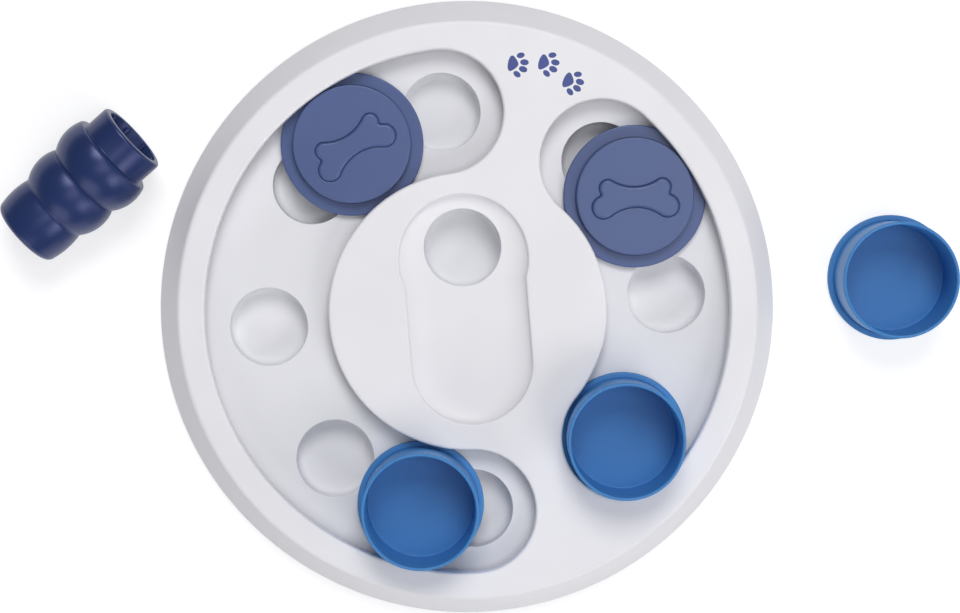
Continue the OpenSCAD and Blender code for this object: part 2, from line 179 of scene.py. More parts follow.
class FixingSizes(bpy.types.PropertyGroup):
    rim_screws: IntProperty(name="Rim screws", description="Screws around the rim", default=8)
    rim_circle: length("Rim screw circle", "Radius of the circle of rim screws", 136.1)
    island_circle: length("Island screw circle", "Radius of the circle of island screws", 58.7)
    island_spread: turn("Island spread", "Turn of the island's screws from the X axis", 12)
    seat: length("Seat", "Height of the tray's underside, where the heads sit", 14.3)
    screw: length("Shank radius", "Radius of a screw over its thread", 1.7)
    screw_length: length("Screw length", "Length of a screw under its head", 9.6)
    head: length("Head radius", "Radius of a screw's head", 2.9)
    head_height: length("Head height", "Height of a screw's head", 2)
    boss: length("Boss radius", "Radius of the posts under the cover", 3.9)
    ring_inside: length("Ring inside", "Inner radius of the rubber ring", 120.3)
    ring_width: length("Ring width", "Width of the rubber ring", 5.6)
    ring_height: length("Ring height", "Height of the rubber ring", 5.3)


class PrintSizes(bpy.types.PropertyGroup):
    radius: length("Circle", "Radius of the circle that the paw prints stand on", 124.2)
    middle: turn("Middle", "Direction of the middle print from the board's centre", 67.6)
    step: turn("Step", "Turn from one print to the next", 6.6)
    size: length("Size", "Width of one print", 12)


class Finishes(bpy.types.PropertyGroup):
    cover: colour("Cover", "White polypropylene of the top cover", "#ebeaee")
    tray: colour("Tray", "White polypropylene of the tray", "#e6e6ea")
    slider: colour("Sliders", "Slate blue polypropylene of the sliders", "#4a5c8c")
    cup: colour("Cups", "Bright blue polypropylene of the cups", "#4484c4")
    roller: colour("Roller", "Navy polypropylene of the roller", "#1f315e")
    ring: colour("Rubber ring", "Grey rubber of the anti-slip ring", "#55585c")
    screw: colour("Screws", "Zinc plate of the screws", "#c9cbcf")
    print: colour("Print", "Blue ink of the paw prints", "#3d4c8e")


class StageSizes(bpy.types.PropertyGroup):
    camera: FloatVectorProperty(name="Camera", description="Place of the camera", subtype="XYZ",
                                unit="LENGTH", size=3, default=(-0.00309, 0.0648, 1.16759))
    tip: turn("Tip", "Tip of the camera about the image's X axis", 3.107)
    sway: turn("Sway", "Sway of the camera about the image's Y axis", 0.715)
    roll: turn("Roll", "Turn of the board in the image", 4.696)
    lens: FloatProperty(name="Lens", description="Focal length for a 36 mm wide sensor",
                        default=89.41, subtype="DISTANCE_CAMERA")
    ambient: FloatProperty(name="Ambient", description="Strength of the pale surroundings",
                           default=0.2)
    floor_lift: FloatProperty(name="Floor lift", default=0.55,
                              description="How much whiter the floor looks than it is lit")


GROUPS = {
    "board": BoardSizes, "trough": TroughSizes, "slider": SliderSizes, "cup": CupSizes,
    "roller": RollerSizes, "fixing": FixingSizes, "print": PrintSizes, "finish": Finishes,
    "stage": StageSizes,
}


def sizes(group):
    return getattr(bpy.context.scene, "treat_board_" + group)


# ---------------------------------------------------------------- nodes

def add(tree, kind, links=None, **settings):
    """Adds one node. Settings are its properties, links its inputs: a value or a socket each."""
    node = tree.nodes.new(kind)
    for name, value in settings.items():
        setattr(node, name, value)
    for name, value in (links or {}).items():
        if isinstance(value, bpy.types.NodeSocket):
            tree.links.new(value, node.inputs[name])
        else:
            node.inputs[name].default_value = value
    return node


def new_finish(name):
    material = bpy.data.materials.new(name)
    material.use_nodes = True
    material.node_tree.nodes.clear()
    return material


def moulded(name, rgb, roughness, grain, depth, mottle=0.02, shine=0.5, tint="#ffffff"):
    """Injection-moulded plastic: a faint drift of tone from the melt, and a fine spark-eroded
    grain of the given width and depth, which softens highlights without dulling them."""
    material = new_finish(name)
    tree = material.node_tree
    place = add(tree, "ShaderNodeTexCoord").outputs["Object"]
    drift = add(tree, "ShaderNodeTexNoise", {"Vector": place, "Scale": 1 / DRIFT, "Detail": 2.0})

    def drifting(middle, spread):
        # The noise seldom leaves 0.3 to 0.7
        return add(tree, "ShaderNodeMapRange", {
            "Value": drift.outputs["Fac"], "From Min": 0.3, "From Max": 0.7,
            "To Min": middle - spread, "To Max": middle + spread}).outputs["Result"]

    paint = add(tree, "ShaderNodeVectorMath", {0: rgb, 1: drifting(1, mottle)}, operation="MULTIPLY")
    pores = add(tree, "ShaderNodeTexNoise", {
        "Vector": place, "Scale": 1 / grain, "Detail": 3.0, "Roughness": 0.6})
    bump = add(tree, "ShaderNodeBump", {
        "Height": pores.outputs["Fac"], "Distance": depth, "Strength": 1.0})
    shader = add(tree, "ShaderNodeBsdfPrincipled", {
        "Base Color": paint.outputs["Vector"], "Roughness": drifting(roughness, 0.03),
        "Normal": bump.outputs["Normal"], "IOR": PLASTIC_IOR, "Specular IOR Level": shine,
        "Specular Tint": (*linear(tint), 1)})
    add(tree, "ShaderNodeOutputMaterial", {"Surface": shader.outputs["BSDF"]})
    return material


def cover_finish():
    # Polypropylene, moulded in a finely eroded tool: bright white with a silky sheen
    return moulded("White polypropylene, silk moulded", sizes("finish").cover, 0.42, 0.5 * MM, 0.004 * MM)


def tray_finish():
    # The same plastic from a plainer tool: a little greyer and flatter
    return moulded("White polypropylene, matt moulded", sizes("finish").tray, 0.5, 0.5 * MM, 0.005 * MM,
                   shine=0.4)


def slider_finish():
    # Slate blue polypropylene with a fine grain, which spreads the light over the disc
    return moulded("Slate polypropylene, fine grained", sizes("finish").slider, 0.34, 0.4 * MM, 0.006 * MM,
                   0.03)


def cup_finish():
    # Bright blue polypropylene with a satin skin: a soft light along the rim, none on the floor
    return moulded("Blue polypropylene, satin", sizes("finish").cup, 0.42, 0.6 * MM, 0.003 * MM, shine=0.3)


def roller_finish():
    # Navy polypropylene with a satin skin: broad pale lavender glints on the bulbs
    return moulded("Navy polypropylene, satin", sizes("finish").roller, 0.32, 0.5 * MM, 0.005 * MM, 0.04,
                   shine=0.65, tint="#ccccff")


def ink_finish():
    # Pad-printed ink: a thin, slightly glossier film than the plastic under it
    return moulded("Blue pad-print ink", sizes("finish").print, 0.35, 0.3 * MM, 0.003 * MM, 0.06)


def rubber_finish():
    # Moulded thermoplastic rubber: dull, with a dry grain
    return moulded("Grey thermoplastic rubber, matt", sizes("finish").ring, 0.75, 0.35 * MM, 0.02 * MM, 0.05,
                   shine=0.3)


def zinc_finish():
    """Zinc-plated steel: cool grey, with the soft streaks that barrel plating leaves."""
    material = new_finish("Zinc-plated steel")
    tree = material.node_tree
    place = add(tree, "ShaderNodeTexCoord").outputs["Object"]
    cloud = add(tree, "ShaderNodeTexNoise", {"Vector": place, "Scale": 1 / (1.5 * MM), "Detail": 4.0})
    gloss = add(tree, "ShaderNodeMapRange", {"Value": cloud.outputs["Fac"], "To Min": 0.22, "To Max": 0.42})
    shader = add(tree, "ShaderNodeBsdfPrincipled", {
        "Base Color": (*sizes("finish").screw, 1), "Metallic": 1.0, "Roughness": gloss.outputs["Result"]})
    add(tree, "ShaderNodeOutputMaterial", {"Surface": shader.outputs["BSDF"]})
    return material


# ---------------------------------------------------------------- meshes

def inside(points, loop):
    """Which of the points lie inside a closed loop, by counting the edges to their right."""
    x, y = points[:, :1], points[:, 1:]
    a, b = loop, np.roll(loop, -1, axis=0)
    rise = b[:, 1] - a[:, 1]
    crosses = (a[:, 1] > y) != (b[:, 1] > y)
    at = a[:, 0] + (y - a[:, 1]) / np.where(rise == 0, 1, rise) * (b[:, 0] - a[:, 0])
    return (crosses & (x < at)).sum(axis=1) % 2 == 1


class Skin:
    """The closed surface of one moulding, gathered ring by ring."""

    def __init__(self):
        self.points, self.faces, self.marks = [], [], []

    def ring(self, outline, height):
        start = len(self.points)
        self.points.extend((x, y, height) for x, y in outline)
        return list(range(start, len(self.points)))

    def strip(self, a, b):
        """Joins two rings of as many points with a band of quads."""
        for i in range(len(a)):
            j = (i + 1) % len(a)
            self.faces.append((a[i], a[j], b[j], b[i]))
            self.marks.append(0)

    def sweep(self, outline, profile):
        """Sweeps a profile of (offset, height) around an outline. Returns the two end rings."""
        rings = [self.ring(outline(offset), height) for offset, height in profile]
        for a, b in zip(rings, rings[1:]):
            self.strip(a, b)
        return rings[0], rings[-1]

    def fill(self, outer, holes=(), prints=()):
        """Fills a flat face inside one ring and around others. Prints are closed loops of
        points on the face: what is inside them gets the second finish."""
        height = self.points[outer[0]][2]
        rings = [outer, *holes] + [self.ring(loop, height) for loop in prints]
        index = [i for ring in rings for i in ring]
        flat = np.array([self.points[i][:2] for i in index])
        edges, start = [], 0
        for ring in rings:
            edges += [(start + k, start + (k + 1) % len(ring)) for k in range(len(ring))]
            start += len(ring)
        scaled = [Vector(p) for p in (flat / MM)]
        result = delaunay_2d_cdt(scaled, edges, [], 0, 1e-6)
        origin = [index[group[0]] for group in result[3]]
        triangles = np.array(result[2])
        corners = np.array([self.points[i][:2] for i in origin])
        middles = corners[triangles].mean(axis=1)
        loops = [np.array([self.points[i][:2] for i in ring]) for ring in rings]
        keep = inside(middles, loops[0])
        for loop in loops[1:1 + len(holes)]:
            keep &= ~inside(middles, loop)
        printed = np.zeros(len(middles), bool)
        for loop in loops[1 + len(holes):]:
            printed |= inside(middles, loop)
        for triangle, mark in zip(triangles[keep], printed[keep]):
            self.faces.append(tuple(origin[k] for k in triangle))
            self.marks.append(int(mark))


def arc(x, z, radius, start, end, steps=6, stretch=1.0):
    """Points of an arc in a profile, its ends in degrees. Stretch widens it across."""
    turns = [radians(start + (end - start) * k / steps) for k in range(steps + 1)]
    return [(x + stretch * radius * cos(a), z + radius * sin(a)) for a in turns]


def circle(x, y, radius, facets):
    """The outline of a circle, whose offset makes it larger."""
    turns = np.arange(facets) * 2 * pi / facets
    unit = np.stack([np.cos(turns), np.sin(turns)], axis=1)
    return lambda offset: np.array([x, y]) + (radius + offset) * unit


def link(name, data):
    """Adds an object to the scene."""
    thing = bpy.data.objects.new(name, data)
    bpy.context.scene.collection.objects.link(thing)
    return thing


def evaluated(thing):
    """The plain mesh of an object with its modifiers."""
    bpy.context.view_layer.update()
    graph = bpy.context.evaluated_depsgraph_get()
    return bpy.data.meshes.new_from_object(thing.evaluated_get(graph), depsgraph=graph)


def as_mesh(work, name):
    """Ends an edit in a new mesh."""
    mesh = bpy.data.meshes.new(name)
    work.to_mesh(mesh)
    work.free()
    return mesh


def seat_of(node):
    """Moves a piece from the origin to where its node stands."""
    low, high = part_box(node)
    return Matrix.Translation(((low.x + high.x) / 2, (low.y + high.y) / 2, low.z))


def on_circle(radius, turns):
    return [(radius * cos(a), radius * sin(a), 0) for a in turns]


def even_turns(count):
    return [(k + 0.5) * 2 * pi / count for k in range(count)]


def place_piece(name, mesh, materials, body, replaced):
    """Finishes a mesh and hands it over to the frame."""
    mesh.name = name
    for k, material in enumerate(materials):
        if k < len(mesh.materials):
            mesh.materials[k] = material
        else:
            mesh.materials.append(material)
    mesh.shade_smooth()
    mesh.set_sharp_from_angle(angle=CRISP)
    piece = link(name, mesh)
    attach(piece, body)
    if replaced:
        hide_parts(*replaced)
    return piece


def close_up(mesh, turn_faces=True):
    """Welds doubled points and turns every face outwards, unless they are so already."""
    work = bmesh.new()
    work.from_mesh(mesh)
    bmesh.ops.remove_doubles(work, verts=work.verts, dist=WELD)
    if turn_faces:
        bmesh.ops.recalc_face_normals(work, faces=work.faces)
    work.to_mesh(mesh)
    work.free()
    return mesh


def skin_mesh(skin):
    mesh = bpy.data.meshes.new("moulding")
    mesh.from_pydata(skin.points, [], skin.faces)
    mesh.polygons.foreach_set("material_index", skin.marks)
    return close_up(mesh)


# ---------------------------------------------------------------- geometry nodes

def new_tree(name, inputs):
    tree = bpy.data.node_groups.new(name, "GeometryNodeTree")
    for label, kind in inputs.items():
        tree.interface.new_socket(label, in_out="INPUT", socket_type="NodeSocket" + kind)
    tree.interface.new_socket("Geometry", in_out="OUTPUT", socket_type="NodeSocketGeometry")
    return tree, tree.nodes.new("NodeGroupInput").outputs


def end_tree(tree, geometry, finish):
    """Ends a tree in one real mesh with its material."""
    real = add(tree, "GeometryNodeRealizeInstances", {"Geometry": geometry})
    painted = add(tree, "GeometryNodeSetMaterial", {
        "Geometry": real.outputs["Geometry"], "Material": finish})
    add(tree, "NodeGroupOutput", {"Geometry": painted.outputs["Geometry"]})
    return tree


def lathe_tree():
    """Turns a half profile, drawn in X and Y, around the Z axis."""
    tree, given = new_tree("Turned piece", {"Profile": "Geometry", "Facets": "Int", "Finish": "Material"})
    profile = add(tree, "GeometryNodeMeshToCurve", {"Mesh": given["Profile"]})
    axis = add(tree, "GeometryNodeCurvePrimitiveCircle", {"Resolution": given["Facets"], "Radius": 1e-6})
    upright = add(tree, "GeometryNodeSetCurveNormal", {"Curve": axis.outputs["Curve"]}, mode="Z_UP")
    turned = add(tree, "GeometryNodeCurveToMesh", {
        "Curve": upright.outputs["Curve"], "Profile Curve": profile.outputs["Curve"]})
    closed = add(tree, "GeometryNodeMergeByDistance", {"Geometry": turned.outputs["Mesh"], "Distance": 4e-6})
    return end_tree(tree, closed.outputs["Geometry"], given["Finish"])


def copies_tree():
    """Sets one copy of a piece on every point, turned to face away from the Z axis."""
    tree, given = new_tree("Copies on points", {
        "Points": "Geometry", "Piece": "Object", "Finish": "Material"})
    piece = add(tree, "GeometryNodeObjectInfo", {"Object": given["Piece"], "As Instance": True})
    spot = add(tree, "GeometryNodeInputPosition")
    place = add(tree, "ShaderNodeSeparateXYZ", {"Vector": spot.outputs["Position"]})
    heading = add(tree, "ShaderNodeMath", {0: place.outputs["Y"], 1: place.outputs["X"]},
                  operation="ARCTAN2")
    spin = add(tree, "ShaderNodeCombineXYZ", {"Z": heading.outputs["Value"]})
    turned = add(tree, "FunctionNodeEulerToRotation", {"Euler": spin.outputs["Vector"]})
    copies = add(tree, "GeometryNodeInstanceOnPoints", {
        "Points": given["Points"], "Instance": piece.outputs["Geometry"],
        "Rotation": turned.outputs["Rotation"]})
    return end_tree(tree, copies.outputs["Instances"], given["Finish"])


def thread_tree():
    """Winds a screw's thread around the Z axis, upwards from the origin."""
    tree, given = new_tree("Screw thread", {
        "Shank": "Geometry", "Turns": "Float", "Core radius": "Float", "Length": "Float",
        "Ridge": "Float", "Finish": "Material"})
    path = add(tree, "GeometryNodeCurveSpiral", {
        "Resolution": 20, "Rotations": given["Turns"], "Start Radius": given["Core radius"],
        "End Radius": given["Core radius"], "Height": given["Length"]})
    ridge = add(tree, "GeometryNodeCurvePrimitiveCircle", {"Resolution": 3, "Radius": given["Ridge"]})
    wound = add(tree, "GeometryNodeCurveToMesh", {
        "Curve": path.outputs["Curve"], "Profile Curve": ridge.outputs["Curve"], "Fill Caps": True})
    both = add(tree, "GeometryNodeJoinGeometry")
    tree.links.new(given["Shank"], both.inputs["Geometry"])
    tree.links.new(wound.outputs["Mesh"], both.inputs["Geometry"])
    return end_tree(tree, both.outputs["Geometry"], given["Finish"])


TREES = {"lathe": lathe_tree, "copies": copies_tree, "thread": thread_tree}


def grow(kind, start, **inputs):
    """Runs a tree on a start mesh with its named inputs, and returns the plain mesh it makes."""
    tree = bpy.data.node_groups.get("treat board " + kind)
    if tree is None:
        tree = TREES[kind]()
        tree.name = "treat board " + kind
    seed = link("seed", start)
    modifier = seed.modifiers.new(kind, "NODES")
    modifier.node_group = tree
    labels = {item.name: item.identifier for item in tree.interface.items_tree if item.in_out == "INPUT"}
    for label, value in inputs.items():
        modifier[labels[label.replace("_", " ")]] = value
    mesh = evaluated(seed)
    seed.modifiers.clear()
    bpy.data.objects.remove(seed)
    return mesh


def lathe(profile, material, facets=SMALL_CIRCLE, matrix=None):
    """Turns a profile of (radius, height) into a closed mesh."""
    start = bpy.data.meshes.new("profile")
    # The tree's Y axis comes out downwards
    start.from_pydata([(r, -z, 0) for r, z in profile], [(k, k + 1) for k in range(len(profile) - 1)], [])
    mesh = grow("lathe", start, Facets=facets, Finish=material)
    if matrix:
        mesh.transform(matrix)
    return close_up(mesh)


def copies(points, mesh, material):
    """Copies a mesh to each point, as one mesh."""
    source = link("source", mesh)
    start = bpy.data.meshes.new("points")
    start.from_pydata(points, [], [])
    result = grow("copies", start, Piece=source, Finish=material)
    bpy.data.objects.remove(source)
    return result


def merged(name, meshes, material):
    """Joins meshes into one."""
    work = bmesh.new()
    for mesh in meshes:
        work.from_mesh(mesh)
    mesh = as_mesh(work, name)
    mesh.materials.append(material)
    mesh.polygons.foreach_set("material_index", [0] * len(mesh.polygons))
    return mesh


# ---------------------------------------------------------------- outlines

def channel_layout():
    """Radius of the channels' middle line, and each channel's middle and half turn."""
    board = sizes("board")
    track = board.radius - board.skirt_run - board.rim - board.channel / 2
    bridge = 2 * asin((board.channel + board.bridge) / 2 / track)
    step = (2 * pi - 2 * bridge) / (board.long_wells + board.short_wells - 2)
    return track, (pi, (board.long_wells - 1) / 2 * step), (0, (board.short_wells - 1) / 2 * step)


def channel_outline(track, middle, half_turn, half_width):
    """Outline of a channel: two arcs and two round ends. Its offset makes it wider."""
    end_facets, facet_degrees = 56, 1.5
    along = round(degrees(2 * half_turn) / facet_degrees)
    sweep = np.linspace(-half_turn, half_turn, along, endpoint=False)
    cap = np.linspace(0, pi, end_facets, endpoint=False)

    def outline(offset):
        width = half_width + offset
        parts = []
        for side, start in ((1, -half_turn), (-1, half_turn)):
            turns = middle + side * sweep
            radius = track + side * width
            parts.append(np.stack([radius * np.cos(turns), radius * np.sin(turns)], axis=1))
            end = middle - start
            centre = track * np.array([cos(end), sin(end)])
            turns = end + cap + (0 if side > 0 else pi)
            parts.append(centre + width * np.stack([np.cos(turns), np.sin(turns)], axis=1))
        return np.concatenate(parts)
    return outline


def trough_outline():
    """Outline of the keyhole trough, and the place of the hole in it. Its offset, one number or
    one for each point, goes inwards."""
    trough = sizes("trough")
    track = channel_layout()[0]
    island = track - sizes("board").channel / 2
    bowl_y = island - trough.bowl_margin - trough.bowl
    low_y = trough.end_margin + trough.half_width - island
    waist_x = trough.half_width + trough.waist
    waist_y = bowl_y - sqrt((trough.bowl + trough.waist) ** 2 - waist_x ** 2)
    waist_turn = atan2(waist_y - bowl_y, waist_x)
    # Points along each straight side, each waist, the bowl and the far end
    on_side, on_waist, on_bowl, on_end = 20, 6, 110, 90
    rows = []

    def sample(x, y, radius, start, end, count, bulge):
        for turn in np.linspace(start, end, count, endpoint=False):
            rows.append((x, y, radius, cos(turn), sin(turn), bulge))

    def side(x, start, end, count):
        for y in np.linspace(start, end, count, endpoint=False):
            rows.append((0, y, trough.half_width, x, 0, -1))

    side(1, low_y, waist_y, on_side)
    sample(waist_x, waist_y, trough.waist, pi, pi + waist_turn, on_waist, 1)
    sample(0, bowl_y, trough.bowl, waist_turn, pi - waist_turn, on_bowl, -1)
    sample(-waist_x, waist_y, trough.waist, -waist_turn, 0, on_waist, 1)
    side(-1, waist_y, low_y, on_side)
    sample(0, low_y, trough.half_width, pi, 2 * pi, on_end, -1)
    table = np.array(rows)

    def outline(offset):
        reach = table[:, 2] + table[:, 5] * offset
        return table[:, :2] + table[:, 3:5] * reach[:, None]
    return outline, bowl_y + trough.hole_shift


def bone_outline():
    """Outline of the bone: lobes, waists and end notches that run into each other."""
    top_x, top_y, top_r = 13.1 * MM, 4.3 * MM, 4 * MM
    low_x, low_y, low_r = 15.4 * MM, -4.9 * MM, 5.4 * MM
    notch = 1.6 * MM
    top_waist, low_waist = 4.5 * MM, -5.2 * MM

    def waist_radius(x, y, radius, waist):
        # The waist's circle stands on the Y axis and touches the lobe from outside
        gap = abs(waist - y)
        lean = gap if (waist > y) == (y > 0) else -gap
        return (x * x + lean * lean - radius * radius) / (2 * (radius - lean))

    top_arc = waist_radius(top_x, top_y, top_r, top_waist)
    low_arc = waist_radius(low_x, low_y, low_r, low_waist)
    top_c, low_c = top_waist + top_arc, low_waist - low_arc
    # The notch touches both lobes on the outer side
    apart = hypot(low_x - top_x, low_y - top_y)
    along = ((top_r + notch) ** 2 - (low_r + notch) ** 2 + apart ** 2) / (2 * apart)
    across = sqrt((top_r + notch) ** 2 - along ** 2)
    unit_x, unit_y = (low_x - top_x) / apart, (low_y - top_y) / apart
    notch_x = top_x + along * unit_x - across * unit_y
    notch_y = top_y + along * unit_y + across * unit_x

    def bearing(x, y):
        return atan2(y, x)

    right = [
        (low_x, low_y, low_r, bearing(-low_x, low_c - low_y), bearing(notch_x - low_x, notch_y - low_y), 1),
        (notch_x, notch_y, notch, bearing(low_x - notch_x, low_y - notch_y),
         bearing(top_x - notch_x, top_y - notch_y), -1),
        (top_x, top_y, top_r, bearing(notch_x - top_x, notch_y - top_y), bearing(-top_x, top_c - top_y), 1),
    ]
    parts = []
    for x, y, radius, start, end, bulge in right:
        if bulge > 0:
            end += 2 * pi if end < start else 0
        else:
            start %= 2 * pi
            end %= 2 * pi
        parts.append((x, y, radius, start, end, bulge))
    half = bearing(top_x, top_y - top_c)
    parts.append((0, top_c, top_arc, half, -pi - half, -1))
    for x, y, radius, start, end, bulge in reversed(parts[:3]):
        parts.append((-x, y, radius, pi - end, pi - start, bulge))
    half = bearing(-low_x, low_y - low_c)
    parts.append((0, low_c, low_arc, half, pi - half, -1))

    def outline(offset):
        spacing = 0.35 * MM
        points = []
        for x, y, radius, start, end, bulge in parts:
            # Each arc has at least ten points, and more where it is long
            count = max(10, round(abs(end - start) * radius / spacing))
            for turn in np.linspace(start, end, count, endpoint=False):
                reach = radius + bulge * offset
                points.append((x + reach * cos(turn), y + reach * sin(turn)))
        return np.array(points)
    return outline


def paw_loops(x, y, heading, size):
    """A plain paw print: one broad pad and four toes, each a closed loop."""
    # Place across and along, half width, half length and lean, as shares of the print's size
    shapes = [(0, -0.16, 0.30, 0.24, 0)]
    shapes += [(side * 0.38, 0.10, 0.11, 0.16, side * -0.45) for side in (-1, 1)]
    shapes += [(side * 0.14, 0.30, 0.12, 0.17, side * -0.12) for side in (-1, 1)]
    loops = []
    for cx, cy, wide, tall, lean in shapes:
        turns = np.arange(32) * 2 * pi / 32
        px, py = wide * np.cos(turns), tall * np.sin(turns)
        if cy < 0:
            # The pad is flat behind and narrows towards the toes
            py = np.where(py < 0, py * 0.75, py)
            px = px * (1 - 0.45 * py / tall)
        ax, ay = cx + px * cos(lean) - py * sin(lean), cy + px * sin(lean) + py * cos(lean)
        loops.append(np.stack([
            x + size * (ax * cos(heading) - ay * sin(heading)),
            y + size * (ax * sin(heading) + ay * cos(heading))], axis=1))
    return loops


# ---------------------------------------------------------------- operators

class TREATBOARD_OT_stage(bpy.types.Operator):
    """Adds the floor, the lamps, the surroundings and the camera"""
    bl_idname = "treat_board.stage"
    bl_label = "Stage"

    def execute(self, context):
        stage = sizes("stage")
        scene = context.scene
        scene.view_settings.view_transform = "Standard"
        self.add_camera(stage, scene)
        self.add_floor(stage)
        self.add_world(stage, scene)
        for lamp in LAMPS:
            self.add_lamp(stage, *lamp)
        return {"FINISHED"}

    def add_camera(self, stage, scene):
        camera = link("camera", bpy.data.cameras.new("camera"))
        camera.data.lens = stage.lens
        camera.data.sensor_width = 36
        camera.data.clip_start = 0.05
        camera.data.clip_end = 20
        look = Matrix.Rotation(stage.tip, 3, "X") @ Matrix.Rotation(stage.sway, 3, "Y")
        turned = Matrix.Rotation(-stage.roll, 3, "Z") @ look.transposed()
        camera.matrix_world = Matrix.Translation(stage.camera) @ turned.to_4x4()
        scene.camera = camera

    def add_floor(self, stage):
        half = FLOOR_HALF
        corners = [(-half, -half, 0), (half, -half, 0), (half, half, 0), (-half, half, 0)]
        mesh = bpy.data.meshes.new("floor")
        mesh.from_pydata(corners, [], [(0, 1, 2, 3)])
        # Matt white paper. What the camera and the reflections see of it is lifted to white,
        # and the shadows on it stay.
        material = new_finish("White paper, matt")
        tree = material.node_tree
        path = add(tree, "ShaderNodeLightPath").outputs
        seen = path["Is Camera Ray"]
        for ray in ("Is Glossy Ray", "Is Transmission Ray"):
            seen = add(tree, "ShaderNodeMath", {0: seen, 1: path[ray]}, operation="MAXIMUM").outputs[0]
        lift = add(tree, "ShaderNodeMath", {0: seen, 1: stage.floor_lift}, operation="MULTIPLY")
        glow = add(tree, "ShaderNodeEmission", {"Color": (1, 1, 1, 1), "Strength": lift.outputs[0]})
        paper = add(tree, "ShaderNodeBsdfDiffuse", {"Color": (*linear(PAPER), 1)})
        both = add(tree, "ShaderNodeAddShader", {0: paper.outputs[0], 1: glow.outputs[0]})
        add(tree, "ShaderNodeOutputMaterial", {"Surface": both.outputs[0]})
        mesh.materials.append(material)
        link("floor", mesh)

    def add_world(self, stage, scene):
        world = bpy.data.worlds.new("pale surroundings")
        world.use_nodes = True
        tree = world.node_tree
        tree.nodes.clear()
        path = add(tree, "ShaderNodeLightPath").outputs
        seen = add(tree, "ShaderNodeMath", {0: path["Is Camera Ray"], 1: path["Is Transmission Ray"]},
                   operation="MAXIMUM")
        air = add(tree, "ShaderNodeBackground", {"Color": (*linear(AIR), 1), "Strength": stage.ambient})
        white = add(tree, "ShaderNodeBackground", {"Color": (1, 1, 1, 1), "Strength": 1.0})
        mix = add(tree, "ShaderNodeMixShader", {0: seen.outputs[0], 1: air.outputs[0], 2: white.outputs[0]})
        add(tree, "ShaderNodeOutputWorld", {"Surface": mix.outputs[0]})
        scene.world = world

    def add_lamp(self, stage, name, bearing, height, distance, width, power):
        lamp = link(name, bpy.data.lights.new(name, "AREA"))
        lamp.data.shape = "SQUARE"
        lamp.data.size = width
        lamp.data.energy = power
        # Bearings are turns in the image, from its right
        turn, rise = radians(bearing) - stage.roll, radians(height)
        aim = Vector((cos(turn) * cos(rise), sin(turn) * cos(rise), sin(rise)))
        facing = aim.to_track_quat("Z", "Y").to_matrix().to_4x4()
        lamp.matrix_world = Matrix.Translation(aim * distance) @ facing


# Name, bearing and height in degrees, distance and width in metres, power in watts
LAMPS = [
    ("window_top", 86, 55, 2.5, 1.1, 29),
    ("window_right", 315, 40, 2.5, 1.1, 15),
    ("fill_right", 340, 14, 2.5, 1.6, 9),
    ("fill_low", 240, 24, 2.5, 1.6, 14),
    ("overhead", 0, 76, 2.5, 1.0, 7),
    ("overhead_low", 250, 80, 2.5, 0.8, 2),
]


